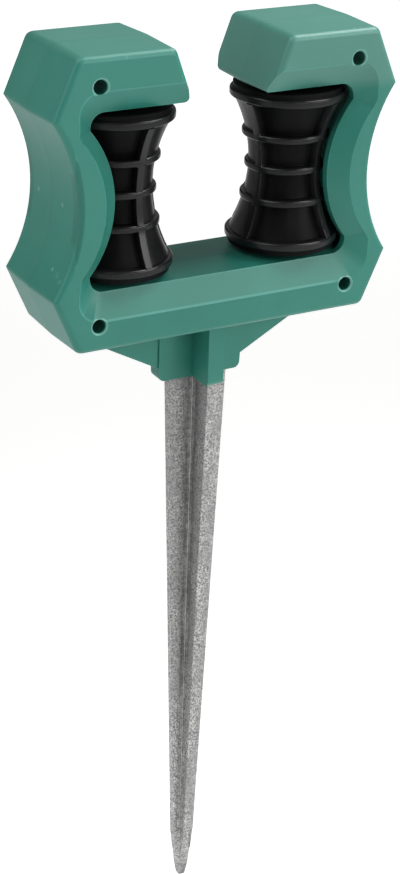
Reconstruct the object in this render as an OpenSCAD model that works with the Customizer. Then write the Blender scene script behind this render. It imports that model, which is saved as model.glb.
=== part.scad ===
// Hose guide stake: two ribbed spool rollers in a clamshell yoke, on a cast cross-section ground stake.
// The origin is on the stake's axis at ground level, under the socket.
// X runs along the crossbar, Y from the front face to the rear face, Z up.

/* [Yoke] */
// Width of the yoke over the ears of its side arms, at the parting plane
yoke_w = 157.4; // [150:0.2:172]
// Height of the yoke from the underside of the crossbar to the top
yoke_h = 121.2; // [110:0.2:134]
// Depth of the yoke from front face to rear face
yoke_d = 49; // [45:1:60]
// Width of the flat top and of the flat underside
flat_w = 135.8; // [128:0.2:140]
// Width over the waist of the side arms
waist_w = 134.8; // [130:0.2:139]
// Height of the ears above the underside, and below the top
ear_h = 24.6; // [20:0.2:28]
// Height of the crossbar
bar_h = 24.6; // [22:0.2:27]
// Height of the hoods over the rollers
hood_h = 24.4; // [22:0.2:27]
// Angle by which the outer walls close in from the parting plane to the faces
draft = 1.5; // [0.5:0.1:2]
// Radius of the upright corners at the top, at the underside and beside the mouth, at the parting plane
corner_r = 4.2; // [3.6:0.1:6]
// Radius at the tips of the ears, at the parting plane
ear_r = 2.4; // [1.2:0.1:3.5]
// Radius of the corner between the mouth and the underside of a hood, at the parting plane
lip_r = 2.2; // [1.2:0.1:3]
// Radius along the outer edges of both faces
edge_r = 2.8; // [1:0.1:2.8]
// Wall thickness of the mouldings
wall = 3; // [2:0.1:3.4]

/* [Opening] */
// Width of the hose mouth at the top
mouth_w = 50.4; // [44:0.2:58]
// Width of the hose mouth at the underside of the hoods
throat_w = 32.2; // [28:0.2:40]
// Width of the opening at its rounded corners
opening_w = 119; // [114:1:124]
// Radius of the corners of the opening
opening_r = 5.4; // [2:0.2:8]
// Width between the bulges of the two side arms
bulge_gap = 97.4; // [90:0.2:104]
// Radius of the bulge on the inside of each arm
bulge_r = 47; // [44:1:60]

/* [Bevel] */
// How far the bevel round the opening falls back from the face
bevel_drop = 5.5; // [2:0.1:7]
// Width of the bevel along the crossbar
bevel_bar = 11; // [5:0.5:13]
// Width of the bevel along the hoods
bevel_hood = 10; // [5:0.5:13]
// Width of the bevel beside the corners of the opening
bevel_side = 8.5; // [5:0.5:9]
// Width of the bevel round the bulge of each arm
bevel_bulge = 7.7; // [4:0.1:9]
// Radius of the outer corners of the bevel
bevel_r = 11; // [6:0.5:14]

/* [Socket] */
// Height of the socket below the crossbar
socket_h = 27.9; // [20:0.1:36]
// Width of the socket along the crossbar
socket_w = 39.6; // [36:0.2:46]
// Depth of the socket from front to rear
socket_d = 35.6; // [35:0.2:42]
// Thickness of the arms of the socket
socket_t = 7.6; // [7:0.1:10]
// Radius of the lower corners of the socket
socket_r = 3; // [1:0.5:5]
// Thickness of the gusset between socket and crossbar
gusset_t = 6; // [3:0.5:7]
// Distance of the gusset's outer ends from the stake's axis
gusset_reach = 60; // [40:1:64]
// Height that the gusset leaves free above the foot of the socket
gusset_lift = 6; // [4:0.5:10]

/* [Rollers] */
// Distance between the two roller axes
roller_gap = 79.4; // [76:0.2:82]
// Gap between the crossbar and the lowest rim of a roller
roller_low_gap = 2.2; // [0.8:0.1:4]
// Gap between a hood and the uppermost rim of a roller
roller_high_gap = 1.4; // [0.8:0.1:4]
// Radius of the roller at its waist, over the middle ring
roller_waist_r = 16.7; // [15:0.1:18]
// Radius of the roller at its end rims
roller_rim_r = 24; // [22:0.1:24.2]
// Height of an end rim
rim_h = 3.4; // [2:0.1:5]
// Height of the plain step outside an end rim
rim_step_h = 2.2; // [1:0.1:2.4]
// Depth of the plain step outside an end rim
rim_step_d = 1.3; // [0.5:0.1:3]
// Distance between the middles of neighbouring rings
ring_pitch = 13.6; // [11:0.1:14]
// Height of a ring
ring_h = 3; // [2:0.1:4]
// How far rings and ribs stand above the plain sides
ring_rise = 1.7; // [0.8:0.1:2.4]
// Depth of the pockets below the rings and ribs
pocket_depth = 4; // [2.5:0.1:6]
// Angle between the two ribs of one pocket
pocket_angle = 100; // [70:1:110]
// Width of the ribs along the pockets
rib_w = 3.3; // [2:0.1:5]
// Radius of the hub that runs against the yoke
hub_r = 7; // [5:0.5:10]
// Turn of the left roller at rest
left_turn = -130; // [-180:1:180]
// Turn of the right roller at rest
right_turn = -112; // [-180:1:180]

/* [Axles] */
// Diameter of the steel axles
axle_d = 6; // [4:0.5:7]
// How deep the axles sit in the crossbar and in the hoods
axle_seat = 16; // [10:0.5:16.5]
// Running clearance between axle and roller, on the radius
axle_clear = 0.08; // [0.02:0.01:0.1]

/* [Stake] */
// Length of the stake below the socket
stake_l = 268; // [180:1:320]
// Length of the steeper point at the lower end
point_l = 26.5; // [15:0.5:40]
// Width over the arms of the stake at the socket
stake_w = 28.6; // [24:0.2:30]
// Width over the arms where the point begins
point_w = 10.6; // [8:0.2:16]
// Width of the blunt tip
tip_w = 3.2; // [2:0.1:5]
// Thickness of the stake's arms at the root
stake_t = 4.2; // [3:0.1:4.4]
// Thickness of the stake's arms at their outer edges
stake_edge_t = 3.4; // [2.4:0.1:3.6]
// Radius in the four valleys of the stake
valley_r = 1.6; // [0.5:0.1:2.5]
// Width and height of the casting ridge in two valleys
ridge_w = 0.8; // [0.4:0.1:1.2]
// Length of the plate that holds the stake inside the crossbar
head_l = 42; // [32:1:46]
// Depth of the plate that holds the stake inside the crossbar
head_d = 18; // [12:1:30]
// Thickness of the plate that holds the stake
head_t = 4; // [3:0.5:6]

/* [Screws] */
// Distance of the screws from the middle of the yoke
screw_x = 58.2; // [56:0.2:60]
// Distance of the lower screws from the underside of the yoke
screw_low = 11.6; // [10:0.2:12.6]
// Distance of the upper screws from the top of the yoke
screw_high = 12.6; // [11:0.2:13.4]
// Diameter of the screw recesses in the front face
recess_d = 5.9; // [5.4:0.1:7]
// Depth at which the screw heads sit
recess_depth = 14; // [8:0.5:18]
// Diameter of the screw heads
screw_head_d = 5.4; // [4.4:0.1:5.4]
// Height of the screw heads
screw_head_h = 2.2; // [1.5:0.1:3]
// Diameter of the screw shanks
screw_d = 2.9; // [2.2:0.1:3.5]
// Length of the screws below the head
screw_l = 24; // [16:1:28]

/* [Hidden] */
$fn = 96;

over = 1;               // how far a cut runs past the face that it opens
sliver = 0.01;          // overlap of two solids that would only touch, and the thinnest layer of a hull
crossing = 0.01;        // how far a round crosses the faces that it runs into, so that it doesn't only touch them
fit = 0.15;             // clearance round the stake in its socket
seat_fit = 0.02;        // clearance between an axle and its seats
thread_fit = 0.03;      // clearance between a screw and its pilot hole
corner_step = 0.02;     // how much deeper than the straight walls the round corners are cut
end_gap = 0.4;          // gap between a roller's hub and the yoke
boss_wall = 1.6;        // wall of the screw bosses round the recesses
pilot_wall = 2.6;       // wall of the screw bosses round the pilot holes
screw_slip = 0.3;       // clearance round a screw in the front half, on the radius
rib_t = 2.4;            // thickness of the ribs inside the yoke, and of the wall beyond an axle's end
shelf_h = 7.2;          // height of the shelves that carry the ends of the axles
saddle_w = 7;           // wall beside an axle in its seats
recess_chamfer = 0.6;   // chamfer at the mouth of a screw recess
ring_edge = 0.6;        // chamfer along the rings and rims of the rollers
rib_sink = 0.2;         // how far the ribs stay below the faces of the rings
slot_w = 0.8;           // width of the cross slots in the screw heads
slot_l = 3.2;           // length of the cross slots
slot_depth = 1.3;       // depth of the cross slots

half_d = yoke_d / 2;
base_z = socket_h;
mid_z = base_z + yoke_h / 2;
top_z = base_z + yoke_h;
bar_z = base_z + bar_h;
hood_z = top_z - hood_h;
opening_mid = (bar_z + hood_z) / 2;
roller_low = bar_z + roller_low_gap;
roller_high = hood_z - roller_high_gap;
roller_z = (roller_low + roller_high) / 2;
rim_span = roller_high - roller_low - rim_h - 2 * rim_step_h;
roller_x = roller_gap / 2;

face_inset = half_d * tan(draft);
bevel_inset = (half_d - bevel_drop) * tan(draft);

// Radius of an arc from its chord and its rise
function arc_radius(chord, rise) = (chord * chord / 4 + rise * rise) / (2 * rise);
// Direction from one point of the XZ plane to another
function heading(p, q) = (q - p) / norm(q - p);
// Direction to the left of a heading
function left_of(way) = [-way[1], way[0]];
// Where a round corner of radius r at c, on the way from p to q, starts, where it ends, and its centre
function corner_reach(p, c, q, r) = r * tan(acos(heading(p, c) * heading(c, q)) / 2);
function corner_start(p, c, q, r) = c - corner_reach(p, c, q, r) * heading(p, c);
function corner_end(p, c, q, r) = c + corner_reach(p, c, q, r) * heading(c, q);
function corner_centre(p, c, q, r) = corner_start(p, c, q, r) + r * left_of(heading(p, c));
// The same, set in by a hair, so that the round starts and ends on clean lines
function corner_axis(p, c, q, r) = corner_centre(p, c, q, r) - corner_step * heading(corner_centre(p, c, q, r), c);

waist_r = arc_radius(yoke_h - 2 * ear_h, (yoke_w - waist_w) / 2);
slant = (yoke_w - flat_w) / 2 / ear_h;
waist_x = waist_w / 2 + waist_r;
bulge_x = bulge_gap / 2 + bulge_r;
far_low = [-flat_w / 2, base_z];
low_corner = [flat_w / 2, base_z];
apex = [flat_w / 2 + slant * yoke_h / 2, mid_z];
high_corner = [flat_w / 2, top_z];
mouth_corner = [mouth_w / 2, top_z];
throat_corner = [throat_w / 2, hood_z];
inner_corner = [opening_w / 2, hood_z];

rim_inner = rim_span / 2 - rim_h / 2;
groove_r = arc_radius(2 * rim_inner, roller_rim_r - roller_waist_r);
axle_r = axle_d / 2;
axle_low = bar_z - axle_seat;
axle_high = hood_z + axle_seat;
screw_places = [for (x = [-screw_x, screw_x], z = [base_z + screw_low, top_z - screw_high]) [x, z]];
head_z = base_z + wall;
stake_top = bar_z - wall - fit;

// Places its child, drawn in X and Y, upright in the XZ plane, from y = 0 towards the front
module towards_front(depth) {
    rotate([90, 0, 0]) linear_extrude(depth) children();
}

// Copies its child to both sides of the yoke
module both_sides() {
    children();
    mirror([1, 0, 0]) children();
}

// Space beyond one straight wall that leans by the draft, on the right of the line from p to q
module beyond_wall(p, q, inset = 0) {
    way = heading(p, q);
    translate([p[0], 0, p[1]]) rotate([0, -atan2(way[1], way[0]), 0]) rotate([-draft, 0, 0])
        translate([-yoke_w, -yoke_d, inset - yoke_h]) cube([3 * yoke_w, 2 * yoke_d, yoke_h]);
}

// Cone round an axis across the parting plane, whose radius grows towards the face by a share of the draft
module drafted_cone(centre, r, growth, fn = 180) {
    slope = growth * tan(draft);
    translate([centre[0], over, centre[1]]) rotate([90, 0, 0])
        cylinder(h = half_d + 2 * over, r1 = r - slope * over, r2 = r + slope * (half_d + over), $fn = fn);
}

// Space beyond the waist of the right arm
module beyond_waist(inset = 0) {
    drafted_cone([waist_x, mid_z], waist_r + inset / cos(draft), 1);
}

// Space between the hoods, through which the hose is laid in
module mouth_space(inset = 0) {
    intersection() {
        translate([-yoke_w / 2, -yoke_d, hood_z - over]) cube([yoke_w, 2 * yoke_d, yoke_h]);
        beyond_wall(mouth_corner, throat_corner, inset);
        mirror([1, 0, 0]) beyond_wall(mouth_corner, throat_corner, inset);
    }
}

// Body of one half without its opening, from the parting plane to the face, or what lies inset in it
module yoke_form(inset = 0) {
    difference() {
        translate([-yoke_w, inset - half_d, base_z - over]) cube([2 * yoke_w, half_d, yoke_h + 2 * over]);
        beyond_wall(far_low, low_corner, inset);
        beyond_wall(high_corner, mouth_corner, inset);
        both_sides() {
            beyond_wall(low_corner, apex, inset);
            beyond_wall(apex, high_corner, inset);
            beyond_waist(inset);
        }
        mouth_space(inset);
    }
}

// What a round corner at c takes off the sharp corner between the walls from p and to q
module corner_cut(p, c, q, r) {
    axis = corner_axis(p, c, q, r);
    difference() {
        translate([0, over, 0]) towards_front(half_d + 2 * over)
            polygon([axis, corner_start(p, c, q, r) - over * left_of(heading(p, c)),
                     c + over / cos(acos(heading(p, c) * heading(c, q)) / 2) * heading(axis, c),
                     corner_end(p, c, q, r) - over * left_of(heading(c, q))]);
        drafted_cone(axis, r, -1, 64);
    }
}

// What the round tip of the lower right ear takes off the sharp one, between its wall and the waist
module ear_cut() {
    p = low_corner;
    way = heading(p, apex);
    inner = left_of(way);
    // Centre of the tip's radius: at that distance inside both walls
    away = (p + ear_r * inner) - [waist_x, mid_z];
    along = -(away * way) - sqrt(pow(away * way, 2) - away * away + pow(waist_r + ear_r, 2));
    centre = p + ear_r * inner + along * way;
    touch = [waist_x, mid_z] + waist_r * heading([waist_x, mid_z], centre);
    side = (ear_r + over) * heading(centre, touch) - (ear_r + over) * inner;
    difference() {
        translate([0, over, 0]) towards_front(half_d + 2 * over)
            polygon([centre, centre - (ear_r + over) * inner, centre + side,
                     centre + (ear_r + over) * heading(centre, touch)]);
        drafted_cone(centre - corner_step * heading(centre, centre + side), ear_r, -1, 64);
    }
}

// Rectangle with round corners, from its lowest and highest corner
module round_rect(low, high, r) {
    translate([low[0] + r, low[1]]) square([high[0] - low[0] - 2 * r, high[1] - low[1]]);
    translate([low[0], low[1] + r]) square([high[0] - low[0], high[1] - low[1] - 2 * r]);
    for (x = [low[0] + r, high[0] - r], y = [low[1] + r, high[1] - r]) translate([x, y]) circle(r);
}

// Thin slice of the opening's outline at y, grown by the given distances, without the bulges
module opening_slice(y, grow_x, grow_low, grow_high, r) {
    translate([0, y, 0]) towards_front(sliver)
        round_rect([-opening_w / 2 - grow_x, bar_z - grow_low], [opening_w / 2 + grow_x, hood_z + grow_high],
                   r, $fn = 48);
}

// Space for the rollers and the hose, drawn in by the bulge of each arm, a little wider at the face
module opening_space() {
    low = -over * tan(draft);
    high = (half_d + over) * tan(draft);
    difference() {
        hull() {
            opening_slice(over, low, low, low, opening_r + low);
            opening_slice(-half_d - over, high, high, high, opening_r + high);
        }
        both_sides() drafted_cone([bulge_x, opening_mid], bulge_r, -1);
    }
}

// Outline of the bevel at a depth behind the face
module bevel_slice(depth) {
    share = 1 - depth / bevel_drop;
    opening_slice(depth - half_d, bevel_inset + share * bevel_side, bevel_inset + share * bevel_bar,
                  bevel_inset + share * bevel_hood,
                  opening_r + bevel_inset + share * (bevel_r - opening_r - bevel_inset));
}

// Solid between the front face and the bevel that falls back to the opening
module bevel_cut() {
    slope = bevel_bulge / bevel_drop;
    difference() {
        hull() {
            bevel_slice(-over);
            bevel_slice(bevel_drop + over);
        }
        both_sides() translate([bulge_x, -half_d - 2 * over, opening_mid]) rotate([-90, 0, 0])
            cylinder(h = bevel_drop + 4 * over, r1 = bulge_r - bevel_inset - bevel_bulge - 2 * over * slope,
                     r2 = bulge_r - bevel_inset + 2 * over * slope, $fn = 180);
    }
}

// Centre of the round along the edge of the face: X is the depth, Y the distance inwards from the sharp edge
function edge_centre() = [edge_r - crossing, edge_r * (1 / cos(draft) - tan(draft)) - crossing];

// Section of what the rounding takes off the edge of the face, from that centre outwards
module edge_profile() {
    centre = edge_centre();
    difference() {
        polygon([[-over, -over], [-over, centre[1]], centre, centre - (edge_r + over) * [sin(draft), cos(draft)]]);
        translate(centre) circle(edge_r, $fn = 48);
    }
}

// Rounds the edge of the face along the straight wall from p to q, with the solid on its left
module straight_edge_cut(p, q) {
    way = heading(p, q);
    translate([p[0], -half_d, p[1]]) rotate([0, -atan2(way[1], way[0]), 0]) translate([0, 0, face_inset])
        rotate([90, 0, 90]) linear_extrude(norm(q - p)) edge_profile();
}

// Section of what a round corner takes off, out to the given radius: X is the radius, Y the depth
module corner_profile(r, far) {
    centre = [r - face_inset - edge_centre()[1], edge_centre()[0]];
    wall_start = centre[1] - edge_r * sin(draft);
    end = half_d + over;
    difference() {
        translate([0, -over]) square([far, end + over]);
        translate([0, -crossing]) square([centre[0], end]);
        polygon([[0, centre[1]], centre, [r - face_inset + wall_start * tan(draft), wall_start],
                 [r + over * tan(draft), end], [0, end]]);
        translate(centre) circle(edge_r, $fn = 48);
    }
}

// Rounds an upright corner together with the edge of the face
module round_corner_cut(p, c, q, r) {
    axis = corner_axis(p, c, q, r);
    way = heading(p, c);
    turn = acos(way * heading(c, q));
    translate([axis[0], -half_d, axis[1]]) rotate([-90, 0, 0]) rotate(90 - atan2(way[1], way[0]) - turn)
        rotate_extrude(angle = turn) corner_profile(r, r / cos(turn / 2) + over);
}

// Rounds the edge of the face round the waist of an arm
module waist_edge_cut() {
    translate([waist_x, -half_d, mid_z]) rotate([-90, 0, 0])
        rotate_extrude($fn = 180) translate([waist_r + face_inset, 0]) mirror([1, -1, 0]) edge_profile();
}

// Rounds the edges of its child's face and its upright corners. The cuts along straight walls run on into the
// corners, where the later cuts take off more
module rounded_outside() {
    low_end = corner_start(far_low, low_corner, apex, corner_r) + [over, 0];
    ear_start = corner_end(far_low, low_corner, apex, corner_r) - over * heading(low_corner, apex);
    past_tip = ear_start + 2 * ear_h * heading(low_corner, apex);
    top_start = corner_end(apex, high_corner, mouth_corner, corner_r) + [over, 0];
    top_end = corner_start(high_corner, mouth_corner, throat_corner, corner_r) - [over, 0];
    mouth_start = corner_end(high_corner, mouth_corner, throat_corner, corner_r)
        - over * heading(mouth_corner, throat_corner);
    past_throat = throat_corner + edge_r * heading(mouth_corner, throat_corner);
    difference() {
        difference() {
            difference() {
                children();
                both_sides() {
                    ear_cut();
                    mirrored_up() ear_cut();
                }
            }
            straight_edge_cut([-low_end[0], low_end[1]], low_end);
            both_sides() {
                straight_edge_cut(ear_start, past_tip);
                mirrored_up() straight_edge_cut(ear_start, past_tip);
                straight_edge_cut(top_start, top_end);
                straight_edge_cut(mouth_start, past_throat);
                waist_edge_cut();
            }
        }
        both_sides() {
            round_corner_cut(far_low, low_corner, apex, corner_r);
            round_corner_cut(apex, high_corner, mouth_corner, corner_r);
            round_corner_cut(high_corner, mouth_corner, throat_corner, corner_r);
        }
    }
}

// Turns what is below the middle of the yoke upside down, to above it
module mirrored_up() {
    translate([0, 0, 2 * mid_z]) mirror([0, 0, 1]) children();
}

// Hollow inside one moulding: the crossbar, the two arms open to the rollers, and the two hoods
module cavity() {
    difference() {
        yoke_form(wall);
        for (z = [bar_z - wall, hood_z - crossing])
            translate([-yoke_w, -yoke_d, z]) cube([2 * yoke_w, 2 * yoke_d, wall + crossing]);
        translate([0, wall, 0]) bevel_cut();
    }
}

// Shelves that carry the ends of an axle, and the ribs beside the head of the stake
module inner_ribs() {
    for (x = [-roller_x, roller_x], z = [axle_low - rib_t, axle_high + rib_t - shelf_h])
        translate([x - axle_r - saddle_w, -half_d + wall / 2, z])
            cube([2 * (axle_r + saddle_w), half_d - wall / 2, shelf_h]);
    for (side = [-1, 1])
        translate([side * (head_l / 2 + fit + rib_t / 2) - rib_t / 2, -half_d + wall / 2, base_z + wall / 2])
            cube([rib_t, half_d - wall / 2, bar_h - wall]);
}

// Cross-shaped socket under the crossbar, with a gusset on either side
module socket_half() {
    top = base_z + wall / 2;
    towards_front(socket_t / 2) socket_plate(socket_w / 2, top);
    rotate([0, 0, -90]) translate([0, socket_t / 2, 0]) towards_front(socket_t)
        intersection() {
            socket_plate(socket_d / 2, top);
            square([socket_d, top]);
        }
    towards_front(gusset_t / 2)
        for (side = [-1, 1])
            polygon([[0, gusset_lift], [side * (socket_w / 2 - sliver), gusset_lift],
                     [side * gusset_reach, base_z], [side * gusset_reach, top], [0, top]]);
}

// One arm of the socket seen from the side, with round lower corners
module socket_plate(reach, top) {
    translate([-reach, socket_r]) square([2 * reach, top - socket_r]);
    translate([-reach + socket_r, 0]) square([2 * (reach - socket_r), top]);
    for (x = [-reach + socket_r, reach - socket_r]) translate([x, socket_r]) circle(socket_r);
}

// Ribs and screw bosses inside one moulding, which end in the wall behind the bevel
module inside_supports(boss_r) {
    difference() {
        union() {
            inner_ribs();
            for (place = screw_places) translate([place[0], 0, place[1]]) rotate([90, 0, 0])
                cylinder(h = half_d - wall / 2, r = boss_r, $fn = 64);
        }
        translate([0, wall / 2, 0]) bevel_cut();
    }
}

// One half of the yoke, with its front face at the outside and the parting plane at y = 0
module shell_half(boss_r) {
    difference() {
        union() {
            difference() {
                rounded_outside() yoke_form();
                cavity();
                opening_space();
                bevel_cut();
                both_sides() corner_cut(mouth_corner, throat_corner, inner_corner, lip_r);
            }
            inside_supports(boss_r);
            socket_half();
        }
        for (x = [-roller_x, roller_x]) translate([x, 0, axle_low])
            cylinder(h = axle_high - axle_low, r = axle_r + seat_fit, $fn = 64);
        translate([0, 0, -over]) linear_extrude(stake_top + over + fit) stake_section(fit);
        translate([-head_l / 2 - fit, -head_d / 2 - fit, head_z])
            cube([head_l + 2 * fit, head_d + 2 * fit, head_t + fit]);
    }
}

// Front half of the yoke, with the screw recesses
module front_shell() {
    color("#2f8f78") difference() {
        shell_half(recess_d / 2 + boss_wall);
        for (place = screw_places) translate([place[0], -half_d, place[1]]) rotate([-90, 0, 0]) {
            translate([0, 0, -over]) cylinder(h = half_d + 2 * over, r = screw_d / 2 + screw_slip, $fn = 48);
            translate([0, 0, -over]) cylinder(h = recess_depth + over, d = recess_d, $fn = 64);
            translate([0, 0, -over])
                cylinder(h = recess_chamfer + over, d1 = recess_d + 2 * (recess_chamfer + over), d2 = recess_d,
                         $fn = 64);
        }
    }
}

// Rear half of the yoke, turned to the back, with the pilot holes of the screws
module rear_shell() {
    color("#2f8f78") rotate([0, 0, 180]) difference() {
        shell_half(screw_d / 2 + pilot_wall);
        for (place = screw_places) translate([place[0], over, place[1]]) rotate([90, 0, 0])
            cylinder(h = screw_l - (half_d - recess_depth) + 2 * over, d = screw_d + 2 * thread_fit, $fn = 48);
    }
}

// Half section of a roller between its rims, with the surface of its round groove lowered by a depth
module groove_profile(lower) {
    difference() {
        translate([0, -rim_inner]) square([roller_rim_r, 2 * rim_inner]);
        translate([roller_waist_r - lower + groove_r, 0]) circle(groove_r, $fn = 180);
    }
}

// Rims, steps and hub at the two ends of a roller
module roller_ends_profile() {
    for (side = [0, 1]) mirror([0, side]) translate([0, rim_span / 2]) {
        chamfered_band(roller_rim_r, rim_h, ring_edge);
        square([roller_rim_r - rim_step_d, rim_h / 2 + rim_step_h]);
    }
    translate([0, bar_z + end_gap - roller_z]) square([hub_r, hood_z - bar_z - 2 * end_gap]);
}

// Section of a disc with both edges chamfered
module chamfered_band(r, h, cut) {
    polygon([[0, -h / 2], [r - cut, -h / 2], [r, cut - h / 2], [r, h / 2 - cut], [r - cut, h / 2], [0, h / 2]]);
}

// Section of the rings on the plain sides, with round edges
module round_rings_profile() {
    for (i = [-1:1]) translate([0, i * ring_pitch]) {
        reach = groove_radius(i * ring_pitch) - ring_h / 2;
        translate([0, -ring_h / 2]) square([reach, ring_h]);
        translate([reach, 0]) circle(d = ring_h, $fn = 32);
    }
}

// Section of the flat-faced rings that cross the pockets
module flat_rings_profile() {
    for (i = [-1:1]) translate([0, i * ring_pitch])
        chamfered_band(groove_radius(i * ring_pitch), ring_h, ring_edge);
}

// Radius over rings and ribs at a height above the roller's middle
function groove_radius(z) = roller_waist_r + groove_r - sqrt(groove_r * groove_r - z * z);

// Keeps the part of a roller's section that lies outside its core
module outside_core() {
    intersection() {
        translate([hub_r, -rim_inner]) square([roller_rim_r, 2 * rim_inner]);
        union() children();
    }
}

// One spool roller: plain sides with round rings, and two pockets between ribs, crossed by flat rings
module roller(x, turn) {
    plain_angle = 180 - pocket_angle;
    color("#1b1b1d") translate([x, 0, roller_z]) rotate(turn) difference() {
        union() {
            rotate_extrude() {
                groove_profile(pocket_depth);
                flat_rings_profile();
                roller_ends_profile();
            }
            for (side = [90, 270]) rotate(side - plain_angle / 2)
                rotate_extrude(angle = plain_angle) outside_core() {
                    groove_profile(ring_rise);
                    round_rings_profile();
                }
            for (side = [0, 180], edge = [-1, 1]) rotate(side + edge * pocket_angle / 2) intersection() {
                rotate_extrude() groove_profile(rib_sink);
                translate([hub_r, -rib_w / 2, -rim_inner]) cube([roller_rim_r, rib_w, 2 * rim_inner]);
            }
        }
        cylinder(h = yoke_h, r = axle_r + axle_clear, center = true, $fn = 64);
    }
}

module left_roller() {
    roller(-roller_x, left_turn);
}

module right_roller() {
    roller(roller_x, right_turn);
}

// Steel axle that both halves of the yoke close round
module axle(x) {
    color("#b9bcc0") translate([x, 0, axle_low]) cylinder(h = axle_high - axle_low, r = axle_r, $fn = 64);
}

module left_axle() {
    axle(-roller_x);
}

module right_axle() {
    axle(roller_x);
}

// Cross section of the stake, with arms that thin outwards and round valleys
module stake_section(clear = 0) {
    reach = stake_w / 2 + clear;
    root = stake_t / 2 + clear;
    edge = stake_edge_t / 2 + clear;
    for (turn = [0:90:270]) rotate(turn) {
        polygon([[0, -root], [reach, -edge], [reach, edge], [0, root]]);
        difference() {
            square(root + valley_r);
            translate([root + valley_r, root + valley_r]) circle(valley_r, $fn = 48);
        }
    }
}

// Side view of the stake: parallel in the socket, then a long taper and a steeper blunt point
module stake_taper() {
    polygon([[-stake_w / 2, stake_top], [-stake_w / 2, 0], [-point_w / 2, point_l - stake_l],
             [-tip_w / 2, -stake_l], [tip_w / 2, -stake_l], [point_w / 2, point_l - stake_l],
             [stake_w / 2, 0], [stake_w / 2, stake_top]]);
}

// Cast stake with a cross section, a blunt point, and a head plate inside the crossbar
module ground_stake() {
    valley = stake_t / 2 + valley_r * (1 - sqrt(0.5));
    color("#a7a7a4") {
        intersection() {
            translate([0, 0, -stake_l]) linear_extrude(stake_l + stake_top) stake_section();
            for_both_views() stake_taper();
        }
        translate([-head_l / 2, -head_d / 2, head_z]) cube([head_l, head_d, head_t]);
        for (turn = [45, 225]) rotate(turn)
            translate([valley * sqrt(2), 0, point_l - stake_l]) rotate(45)
                translate([-ridge_w / 2, -ridge_w / 2, 0]) cube([ridge_w, ridge_w, stake_l - point_l]);
    }
}

// Keeps what lies inside the same side view from the front and from the side
module for_both_views() {
    intersection() {
        translate([0, stake_w, 0]) towards_front(2 * stake_w) children();
        rotate([0, 0, 90]) translate([0, stake_w, 0]) towards_front(2 * stake_w) children();
    }
}

// The four screws that close the yoke, driven in from the front
module case_screws() {
    color("#8f9296")
        for (place = screw_places) translate([place[0], recess_depth - half_d, place[1]]) rotate([-90, 0, 0]) {
            cylinder(h = screw_l, d = screw_d, $fn = 48);
            translate([0, 0, -screw_head_h]) difference() {
                cylinder(h = screw_head_h, d = screw_head_d, $fn = 48);
                for (turn = [0, 90]) rotate(turn)
                    translate([-slot_l / 2, -slot_w / 2, -over]) cube([slot_l, slot_w, slot_depth + over]);
            }
        }
}

front_shell();
rear_shell();
left_roller();
right_roller();
left_axle();
right_axle();
ground_stake();
case_screws();
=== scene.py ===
"""Looks of the hose guide stake: satin green yoke halves, black spool rollers, cast stake and steel fittings."""

import math
from functools import reduce

import bmesh
import bpy
from mathutils import Matrix, Vector


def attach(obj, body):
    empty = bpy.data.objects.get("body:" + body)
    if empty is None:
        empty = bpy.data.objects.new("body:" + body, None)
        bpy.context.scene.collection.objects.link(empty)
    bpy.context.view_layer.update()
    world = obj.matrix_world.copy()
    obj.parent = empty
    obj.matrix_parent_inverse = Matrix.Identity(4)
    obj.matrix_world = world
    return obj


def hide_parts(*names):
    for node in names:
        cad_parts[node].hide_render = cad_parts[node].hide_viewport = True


MM = 0.001

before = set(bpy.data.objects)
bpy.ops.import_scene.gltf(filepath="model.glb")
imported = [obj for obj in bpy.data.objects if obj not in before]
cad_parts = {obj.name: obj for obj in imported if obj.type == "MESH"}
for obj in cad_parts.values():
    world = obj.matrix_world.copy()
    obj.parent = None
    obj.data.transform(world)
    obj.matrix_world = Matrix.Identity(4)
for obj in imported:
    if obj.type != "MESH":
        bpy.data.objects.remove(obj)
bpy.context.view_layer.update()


# Camera

VIEW_TURN = math.radians(-29.78)     # round the object, from straight in front
VIEW_RISE = math.radians(25.29)      # above the horizon
VIEW_ROLL = math.radians(1.83)
VIEW_FROM = Vector((-0.36822, -0.64945, 0.32157))
LONG_SIDE_MM = 36.0
LENS_MM = 77.59


def place_camera():
    """Puts the camera where the photograph was taken from."""
    back = Vector((math.sin(VIEW_TURN) * math.cos(VIEW_RISE), -math.cos(VIEW_TURN) * math.cos(VIEW_RISE),
                   math.sin(VIEW_RISE)))
    level = Vector((math.cos(VIEW_TURN), math.sin(VIEW_TURN), 0))
    upright = back.cross(level)
    right = math.cos(VIEW_ROLL) * level + math.sin(VIEW_ROLL) * upright
    up = -math.sin(VIEW_ROLL) * level + math.cos(VIEW_ROLL) * upright
    lens = bpy.data.cameras.new("camera")
    lens.sensor_fit = "AUTO"
    lens.sensor_width = LONG_SIDE_MM
    lens.lens = LENS_MM
    lens.clip_start = 0.01
    lens.clip_end = 100
    camera = bpy.data.objects.new("camera", lens)
    bpy.context.scene.collection.objects.link(camera)
    camera.matrix_world = Matrix.Translation(VIEW_FROM) @ Matrix((right, up, back)).transposed().to_4x4()
    bpy.context.scene.camera = camera


place_camera()


# Shader maths and materials

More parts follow.
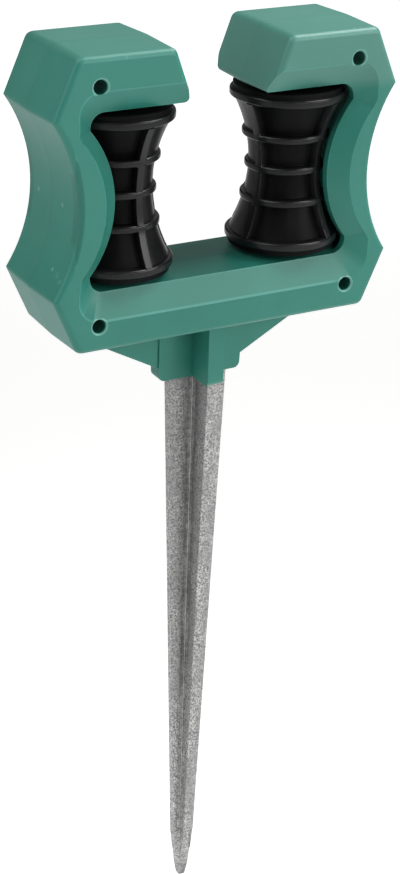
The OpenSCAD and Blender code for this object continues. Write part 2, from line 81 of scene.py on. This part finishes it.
class Value:
    """A number that varies over a surface. Working with it as in plain maths adds the Math nodes."""

    def __init__(self, finish, socket):
        self.finish, self.socket = finish, socket

    def maths(self, operation, *terms):
        return self.finish.node("ShaderNodeMath", {"operation": operation}, dict(enumerate(terms)))

    def __add__(self, other):
        return self.maths("ADD", self, other)

    def __radd__(self, other):
        return self.maths("ADD", other, self)

    def __sub__(self, other):
        return self.maths("SUBTRACT", self, other)

    def __rsub__(self, other):
        return self.maths("SUBTRACT", other, self)

    def __mul__(self, other):
        return self.maths("MULTIPLY", self, other)

    def __rmul__(self, other):
        return self.maths("MULTIPLY", other, self)

    def __truediv__(self, other):
        return self.maths("DIVIDE", self, other)

    def __abs__(self):
        return self.maths("ABSOLUTE", self)

    def root(self):
        return self.maths("SQRT", self)

    def larger(self, other):
        return self.maths("MAXIMUM", self, other)

    def smaller(self, other):
        return self.maths("MINIMUM", self, other)

    def step(self, low, high):
        """0 below low, 1 above high, and a smooth step between."""
        return self.finish.node("ShaderNodeMapRange", {"interpolation_type": "SMOOTHSTEP"},
                                {"Value": self, "From Min": low, "From Max": high})

    def past(self, low_mm, high_mm):
        """The same step for a place: 0 below low and 1 above high, in millimetres."""
        return self.step(low_mm * MM, high_mm * MM)

    def short_of(self, low_mm, high_mm):
        """1 below low and 0 above high, in millimetres."""
        return 1 - self.past(low_mm, high_mm)


class Finish:
    """One procedural material on a Principled shader, in the object's own coordinates."""

    def __init__(self, name, **fixed):
        self.material = bpy.data.materials.new(name)
        self.material.use_nodes = True
        self.tree = self.material.node_tree
        self.shader = next(n for n in self.tree.nodes if n.type == "BSDF_PRINCIPLED")
        for socket, value in fixed.items():
            self.shader.inputs[socket.replace("_", " ")].default_value = value
        self.place = self.node("ShaderNodeTexCoord", output="Object")

    def feed(self, socket, value):
        if isinstance(value, Value):
            self.tree.links.new(value.socket, socket)
        else:
            socket.default_value = value

    def node(self, kind, settings=None, values=None, output=0):
        """Makes a node: its settings first, then the values or links of its sockets."""
        made = self.tree.nodes.new(kind)
        for name, value in (settings or {}).items():
            if name == "stops":
                ramp = made.color_ramp
                while len(ramp.elements) < len(value):
                    ramp.elements.new(0.5)
                for element, (position, colour) in zip(ramp.elements, value):
                    element.position, element.color = position, colour
            else:
                setattr(made, name, value)
        for socket, value in (values or {}).items():
            self.feed(made.inputs[socket], value)
        return Value(self, made.outputs[output])

    def noise(self, size_mm, detail=2.0, roughness=0.5, stretch=None):
        """Cloudy pattern whose lumps are about that big. Stretch makes them longer along some axes."""
        place = self.place
        if stretch:
            place = self.node("ShaderNodeMapping", None, {"Vector": place, "Scale": stretch})
        return self.node("ShaderNodeTexNoise", None, {"Vector": place, "Scale": 1 / (size_mm * MM),
                                                      "Detail": detail, "Roughness": roughness})

    def near(self, point_mm, reach_mm):
        """1 round a point, falling to 0 at that distance from it."""
        away = self.node("ShaderNodeVectorMath", {"operation": "DISTANCE"},
                         {0: self.place, 1: [v * MM for v in point_mm]}, output=1)
        return away.short_of(0.3 * reach_mm, reach_mm)

    def mix(self, factor, a, b):
        """Colour between a and b."""
        return self.node("ShaderNodeMix", {"data_type": "RGBA"}, {0: factor, 6: a, 7: b}, output=2)

    def bump(self, height, depth_mm, strength=1.0, below=None):
        """Surface relief from a height between 0 and 1."""
        values = {"Height": height, "Distance": depth_mm * MM, "Strength": strength}
        if below:
            values["Normal"] = below
        return self.node("ShaderNodeBump", None, values)

    def axes(self):
        """The three coordinates of a point, in metres."""
        made = self.node("ShaderNodeSeparateXYZ", None, {"Vector": self.place}).socket.node
        return [Value(self, made.outputs[i]) for i in range(3)]

    def set(self, **varying):
        for socket, value in varying.items():
            self.feed(self.shader.inputs[socket.replace("_", " ")], value)


def grey(level):
    """A neutral colour, a touch warm."""
    return (level, level, level * 0.99, 1)


# Places on the yoke that follow the solids, in millimetres: the screw recesses, the face, the foot, the middle of
# the arms' height
SCREW_X, SCREW_MID, SCREW_RISE = 58.2, 88.0, 48.5
FACE_Y, YOKE_FOOT, ARM_MID = 24.5, 27.9, 88.0
# Light marks: where in millimetres, and how far each reaches. The first five are scuff marks that the left arm has
# picked up; the last is a painted highlight, a glint on the left hood's front top edge
SCUFFS_AND_GLINT = (((-67.1, 13.6, 86.9), 1.6), ((-67.2, -9.2, 87.1), 1.4), ((-72.8, -12.0, 62.0), 1.2),
          ((-73.2, -16.4, 61.0), 1.6), ((-73.8, -20.5, 59.8), 1.2), ((-47.2, -24.3, 146.9), 1.0))


def make_yoke_green():
    """Satin moulded plastic: teal green with faint clouds, a fine skin, the parting line and scuff marks, with
    painted shade in the screw recesses, on the left arm's bevel and in the socket's inner corners, and painted
    highlights on the tops, the right hood, both edges of the bevel, the circles round the screws and one glint.
    """
    green = Finish("yoke_green", IOR=1.5)
    x, y, z = green.axes()
    depth, side = abs(y), abs(x)
    clouds = green.noise(38, 3).step(0.3, 0.7)
    grain = green.noise(0.9, 2)
    # Scuff marks, and one painted highlight: the glint on the left hood's front top edge
    scuffs_and_glint = reduce(Value.larger, [green.near(point, reach) for point, reach in SCUFFS_AND_GLINT]) \
        * green.noise(1.1, 3, 0.7).step(0.42, 0.60)
    dust = green.noise(2.6, 4, 0.75).step(0.70, 0.76)
    seam = depth.short_of(0.10, 0.26)

    # Painted shade makes the screw recesses dark, and a painted highlight lays a light circle on the face round
    # each
    across, rise = side - SCREW_X * MM, abs(z - SCREW_MID * MM) - SCREW_RISE * MM
    off = (across * across + rise * rise).root()
    recess_shade = off.short_of(2.85, 3.0)
    screw_ring_highlight = off.past(2.9, 3.1) * off.short_of(3.6, 3.9) * depth.past(23.6, 23.8)

    # Painted sheen makes the tops and the right hood paler; painted shade darkens the left arm's bevel and the
    # socket's inner corners under the yoke's foot
    painted_sheen = (z.past(146.5, 148.5) * 0.8).larger(x.past(5, 15) * z.past(122, 128))
    bevel_shade = depth.past(18.8, 19.1) * depth.short_of(24.3, 24.5) * x.past(-68.6, -68.3) * x.short_of(-46, -44) \
        * z.past(46, 60) * z.short_of(122, 134)
    nook_shade = z.past(6, 26) * z.short_of(27.9, 28.2) * side.larger(depth).short_of(5, 15)

    # Painted highlight lines, light, along both edges of the bevel that runs round the opening
    outline = abs(z - ARM_MID * MM).past(18, 22) * (4.3 * MM) + 64.5 * MM
    opening = (x + outline).past(-0.2, 0.2) * x.short_of(48, 58) * z.past(40, 41) * z.short_of(134.8, 135.2)
    outer_line = depth.past(23.95, 24.10) * depth.short_of(24.44, 24.49)
    inner_line = depth.past(18.85, 18.95) * depth.short_of(19.15, 19.25)
    edge_highlight = (outer_line * 0.6).larger(inner_line * 0.35) * opening

    base = green.mix(clouds, (0.0205, 0.1910, 0.1450, 1), (0.0255, 0.2145, 0.1655, 1))
    for share, colour in ((painted_sheen * 0.31, (0.17, 0.30, 0.26, 1)), (seam * 0.35, (0.012, 0.105, 0.080, 1)),
                          (bevel_shade * 0.40, (0.008, 0.105, 0.075, 1)), (edge_highlight, (0.070, 0.330, 0.270, 1)),
                          (nook_shade * 0.45, (0.008, 0.085, 0.062, 1)), (recess_shade * 0.9, (0.004, 0.010, 0.009, 1)),
                          (screw_ring_highlight * 0.8, (0.17, 0.44, 0.37, 1)), (scuffs_and_glint * 0.6 + dust * 0.10, (0.30, 0.52, 0.46, 1))):
        base = green.mix(share, base, colour)
    green.set(Base_Color=base, Roughness=0.40 + grain * 0.06 + scuffs_and_glint * 0.12,
              Normal=green.bump(grain, 0.012, 0.35, below=green.bump(1 - seam, 0.12, 0.6)))
    return green.material


# The rollers: their axles' place, their middle height, the half width of the waist, the radius of the groove's
# curve, the depth of the pockets
ROLLER_X, ROLLER_Z = 39.7 * MM, 89 * MM
ROLLER_WAIST, ROLLER_CURVE = 16.7 * MM, 60 * MM
POCKET_DEPTH = 4 * MM


def make_roller_black():
    """Satin black plastic, duller down in the pockets than on the rings, ribs and rims, with painted shade that
    darkens the pockets and the end steps beyond the rims.
    """
    black = Finish("roller_black", IOR=1.12, Coat_IOR=1.5, Coat_Roughness=0.26)
    x, y, z = black.axes()
    across, rise = abs(x) - ROLLER_X, z - ROLLER_Z
    radius = (across * across + y * y).root()
    lift = (radius - ROLLER_WAIST - rise * rise / (2 * ROLLER_CURVE) + POCKET_DEPTH) / POCKET_DEPTH
    # Painted shadow on the end steps beyond the rims, under the hoods and above the crossbar
    end_shadow = abs(rise).past(32.0, 32.3)
    raised_and_unshaded = lift.step(0.1, 0.9) * (1 - end_shadow * 0.9)
    grain = black.noise(0.7, 2)
    clouds = black.noise(14, 2)
    # Painted shade: a darker base colour down in the pockets and on the end steps
    black.set(Base_Color=black.mix(clouds.step(0.3, 0.7) * 0.4 + raised_and_unshaded * 0.6,
                                   (0.0040, 0.0040, 0.0046, 1), (0.0110, 0.0110, 0.0118, 1)),
              Roughness=0.46 - raised_and_unshaded * 0.12 + clouds * 0.08 + grain * 0.04,
              Coat_Weight=raised_and_unshaded * 0.55 + 0.04,
              Normal=black.bump(grain, 0.010, 0.4))
    return black.material


# The stake: its tip, and the half width of its cross section at the top with the taper over its length
STAKE_FOOT = -268 * MM
STAKE_HALF, STAKE_TAPER = 14.3 * MM, 9 / 241.5


def make_cast_zinc():
    """Raw casting: strongly speckled outer faces, dark pits in the valleys, streaks along the draw; painted shade
    darkens the valleys and a painted highlight runs along the parting line in each valley's corner.
    """
    zinc = Finish("cast_zinc", Metallic=0.85)
    x, y, z = zinc.axes()
    half = STAKE_HALF + z.smaller(0.0) * STAKE_TAPER
    outer = (abs(x).larger(abs(y)) / half).step(0.30, 0.72)
    speckle = zinc.noise(0.9, 2, 0.6).step(0.36, 0.66) - 0.5
    coarse = zinc.noise(2.2, 3, 0.6).step(0.3, 0.7) - 0.5
    patches = zinc.noise(9, 3, 0.6, stretch=(1, 1, 0.4)).step(0.35, 0.65)
    streak = zinc.noise(1.3, 2, 0.5, stretch=(1, 1, 0.07)) - 0.5
    pits = zinc.noise(1.5, 3, 0.7).step(0.60, 0.70) * (1 - outer)
    # Painted highlight: a thin light line where the parting line runs down the corner of each valley
    ridge_highlight = abs(abs(x) - abs(y)).short_of(0.12, 0.34)
    # Painted shade and highlight in the tone: the valleys darker than the outer faces, and a light line down the
    # corner of each valley
    tone = 0.34 + ridge_highlight * (1 - outer) * 0.30 + outer * 0.16 \
        + speckle * (0.10 + outer * 0.26) * (0.5 + patches * 0.8) + coarse * 0.14 \
        + (patches - 0.5) * 0.08 + streak * 0.30 * (1.2 - outer) - pits * 0.12
    greys = [(0.0, grey(0.06)), (0.3, grey(0.22)), (0.6, grey(0.50)), (1.0, grey(0.90))]
    zinc.set(Base_Color=zinc.node("ShaderNodeValToRGB", {"stops": greys}, {"Fac": tone}),
             Roughness=0.50 - speckle * 0.14,
             Normal=zinc.bump(speckle * 0.6 + coarse * 0.6, 0.25, 0.7))
    return zinc.material


def make_bright_steel():
    """Bright drawn steel of the axles and screws, with fine draw lines along the bar."""
    steel = Finish("bright_steel", Metallic=1.0)
    lines = steel.noise(0.5, 2, 0.5, stretch=(1, 1, 0.05))
    steel.set(Base_Color=steel.mix(lines, (0.38, 0.39, 0.40, 1), (0.56, 0.57, 0.58, 1)),
              Roughness=0.24 + lines * 0.14,
              Normal=steel.bump(lines, 0.01, 0.4))
    return steel.material


# Pieces

def pick(piece):
    """Leaves one piece alone selected and active."""
    bpy.ops.object.select_all(action="DESELECT")
    piece.select_set(True)
    bpy.context.view_layer.objects.active = piece


def mark_sharp_edges(mesh, from_angle, shortest_mm, share):
    """Gives a bevel weight to the edges that are sharp and long enough for a round, by its share at each place."""
    work = bmesh.new()
    work.from_mesh(mesh)
    weight = work.edges.layers.float.new("bevel_weight_edge")
    for edge in work.edges:
        if len(edge.link_faces) == 2 and edge.calc_length() > shortest_mm * MM \
                and edge.calc_face_angle() > math.radians(from_angle):
            edge[weight] = min(share(*(end.co / MM)) for end in edge.verts)
    work.to_mesh(mesh)
    work.free()


def everywhere(x, y, z):
    """Every edge gets its whole round."""
    return 1


# The line where the yoke's face falls off round the bulge of each arm, in millimetres from the middle plane:
# the side of the bevel, the tip of the bulge, the radius of the bulge, its height, and how softly the two meet
BULGE_LINES = {"left": (67.25, 55.6, 41.9, 88.1, 2.5), "right": (68.7, 56.9, 42.9, 88.4, 2.5)}
SOLID_LINE = (68.5, 56.9, 38.8, 88.6, 0.01)      # the same line on the solids
# Where the line is moved: from which height to which, how slowly that sets in, how far out it may lie, how clear
# of a screw's axis it stays, and how finely it is cut
BULGE_FROM, BULGE_TO, BULGE_FADE = 42.0, 134.0, 10.0
BULGE_SIDES = 52.0, 68.6
CLEAR_OF_SCREW = 3.8
BULGE_CUT = 1.5


def line_at(z, edge, tip, radius, middle, soft):
    """How far such a line runs from the middle plane at a height."""
    arc = tip + radius - math.sqrt(max(radius ** 2 - (z - middle) ** 2, 1))
    meet = max(soft - abs(arc - edge), 0) / soft
    return min(arc, edge) - meet * meet * soft / 4


def ease_bulges(mesh):
    """Lets the line between face and bevel run round the bulge of each arm in one smooth sweep."""
    work = bmesh.new()
    work.from_mesh(mesh)

    def movable(vert):
        """Whether a point lies on the face, in the bulge's reach and clear of the screws."""
        x, y, z = vert.co / MM
        return abs(y) > FACE_Y - 0.01 and BULGE_SIDES[0] < abs(x) < BULGE_SIDES[1] and BULGE_FROM < z < BULGE_TO \
            and math.hypot(abs(x) - SCREW_X, abs(z - SCREW_MID) - SCREW_RISE) > CLEAR_OF_SCREW

    def on_line(edge):
        """Whether the flat face meets the bevel there."""
        lean = sorted(abs(face.normal.y) for face in edge.link_faces)
        return len(lean) == 2 and lean[1] > 0.999 and 0.5 < lean[0] < 0.97 and all(movable(v) for v in edge.verts)

    def split(edge, pieces):
        """Cuts an edge into that many equal pieces, and gives all its points."""
        far = edge.verts[1]
        points = set(edge.verts)
        while pieces > 1:
            near = edge.other_vert(far)
            made = bmesh.utils.edge_split(edge, near, 1 / pieces)[1]
            points.add(made)
            edge = next(e for e in made.link_edges if e.other_vert(made) == far)
            pieces -= 1
        return points

    verts = set()
    for edge in [edge for edge in work.edges if on_line(edge)]:
        verts |= split(edge, max(1, round(edge.calc_length() / (BULGE_CUT * MM))))
    for vert in verts:
        x, y, z = vert.co / MM
        inwards = line_at(z, *SOLID_LINE) - line_at(z, *BULGE_LINES["left" if x < 0 else "right"])
        share = min((z - BULGE_FROM) / BULGE_FADE, (BULGE_TO - z) / BULGE_FADE, 1)
        vert.co.x = (x - math.copysign(inwards * share, x)) * MM
    work.to_mesh(mesh)
    work.free()


def dressed(node, name, body, material, edge_mm=0.0, from_angle=22.0, smooth_angle=21.0, shortest_mm=0.3,
            share=everywhere, reshape=None, miter="MITER_ARC"):
    """A copy of a CAD node for its looks: doubles merged, flat faces whole, sharp edges broken by a small round."""
    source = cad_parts[node]
    piece = bpy.data.objects.new(name, source.data.copy())
    bpy.context.scene.collection.objects.link(piece)
    pick(piece)
    piece.data.materials.clear()
    piece.data.materials.append(material)
    bpy.ops.object.mode_set(mode="EDIT")
    bpy.ops.mesh.select_all(action="SELECT")
    bpy.ops.mesh.remove_doubles(threshold=0.001 * MM)
    bpy.ops.mesh.dissolve_limited(angle_limit=math.radians(0.3))
    bpy.ops.mesh.customdata_custom_splitnormals_clear()
    bpy.ops.object.mode_set(mode="OBJECT")
    if reshape:
        reshape(piece.data)
    if edge_mm:
        mark_sharp_edges(piece.data, from_angle, shortest_mm, share)
        bpy.ops.object.modifier_add(type="BEVEL")
        soften = piece.modifiers[-1]
        soften.width = edge_mm * MM
        soften.segments = 2
        soften.limit_method = "WEIGHT"
        soften.miter_outer = miter
        soften.use_clamp_overlap = False
        bpy.ops.object.modifier_apply(modifier=soften.name)
    bpy.ops.object.shade_smooth_by_angle(angle=math.radians(smooth_angle))
    bpy.ops.object.modifier_add(type="WEIGHTED_NORMAL")
    piece.modifiers[-1].keep_sharp = True
    bpy.ops.object.modifier_apply(modifier=piece.modifiers[-1].name)
    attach(piece, body)
    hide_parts(node)
    return piece


def yoke_edges(x, y, z):
    """Only the edges of the socket and its gussets get a round."""
    return 1 if z < YOKE_FOOT + 0.05 and abs(y) > 0.2 else 0


yoke_green = make_yoke_green()
roller_black = make_roller_black()
cast_zinc = make_cast_zinc()
bright_steel = make_bright_steel()

for node, name in (("front_shell", "front_half"), ("rear_shell", "rear_half")):
    dressed(node, name, "yoke", yoke_green, edge_mm=0.35, share=yoke_edges, reshape=ease_bulges,
            smooth_angle=25.5, miter="MITER_SHARP")
for side in ("left", "right"):
    dressed(f"{side}_roller", f"{side}_spool", f"{side}_roller", roller_black, edge_mm=0.25,
            shortest_mm=0.25)
dressed("ground_stake", "stake", "yoke", cast_zinc, edge_mm=0.3, from_angle=40, shortest_mm=1)
dressed("left_axle", "left_axle_rod", "yoke", bright_steel)
dressed("right_axle", "right_axle_rod", "yoke", bright_steel)
dressed("case_screws", "closing_screws", "yoke", bright_steel)


# Floor and light

# The way the camera looks, seen from above
AHEAD_X, AHEAD_Y = 0.493, 0.870


def make_floor():
    """A pale floor below the stake's tip, which glows softly behind the object and far away all round."""
    bpy.ops.object.select_all(action="DESELECT")
    bpy.ops.mesh.primitive_plane_add(size=60, location=(0, 0, STAKE_FOOT - 60 * MM))
    floor = bpy.context.object
    floor.name = "floor"
    pale = Finish("floor_pale", Roughness=0.9, Emission_Strength=1.0)
    x, y, z = pale.axes()
    along, across = x * AHEAD_X + y * AHEAD_Y, x * AHEAD_Y - y * AHEAD_X
    behind = along.step(-0.3, 0.0) * (1 - abs(across).step(0.35, 0.9))
    glow = pale.mix(along.step(0.3, 2.0), grey(0.40), grey(1.00))
    away = (x * x + y * y).root().step(1.3, 3.8)
    around = pale.mix(away, grey(0.12), grey(0.60))
    pale.set(Base_Color=(0.93, 0.93, 0.93, 1), Emission_Color=pale.mix(behind, around, glow))
    floor.data.materials.append(pale.material)


def make_soft_box(name, where, side, watts):
    """A square light that faces the object's middle."""
    lamp = bpy.data.lights.new(name, "AREA")
    lamp.size = side
    lamp.energy = watts
    light = bpy.data.objects.new(name, lamp)
    bpy.context.scene.collection.objects.link(light)
    light.location = where
    light.rotation_mode = "QUATERNION"
    light.rotation_quaternion = (OBJECT_MIDDLE - Vector(where)).to_track_quat("-Z", "Y")


make_floor()
OBJECT_MIDDLE = Vector((0, 0, 0.06))
# Each soft box: where it hangs, its side in metres and its watts
for name, where, side, watts in (("over_left", (-0.8, -0.2, 1.3), 1.0, 7.5),
                                 ("near_over_right", (0.35, -0.05, 0.6), 0.3, 3.5),
                                 ("near_over_left", (-0.3, 0.1, 0.65), 0.3, 0.5),
                                 ("left", (-1.6, 0, 0.5), 1.2, 6.9),
                                 ("front", (0.1, -1.8, 0.6), 1.0, 7.1),
                                 ("front_right", (1.1, -1.3, 0.6), 1.0, 14.8),
                                 ("back_left", (-0.9, 1.5, 0.7), 1.2, 1.9),
                                 ("back_right", (0.9, 1.5, 0.7), 1.2, 1.5)):
    make_soft_box(name, where, side, watts)

world = bpy.data.worlds.new("studio")
bpy.context.scene.world = world
world.use_nodes = True
next(n for n in world.node_tree.nodes if n.type == "BACKGROUND").inputs["Strength"].default_value = 0.0
bpy.context.scene.view_settings.view_transform = "Standard"
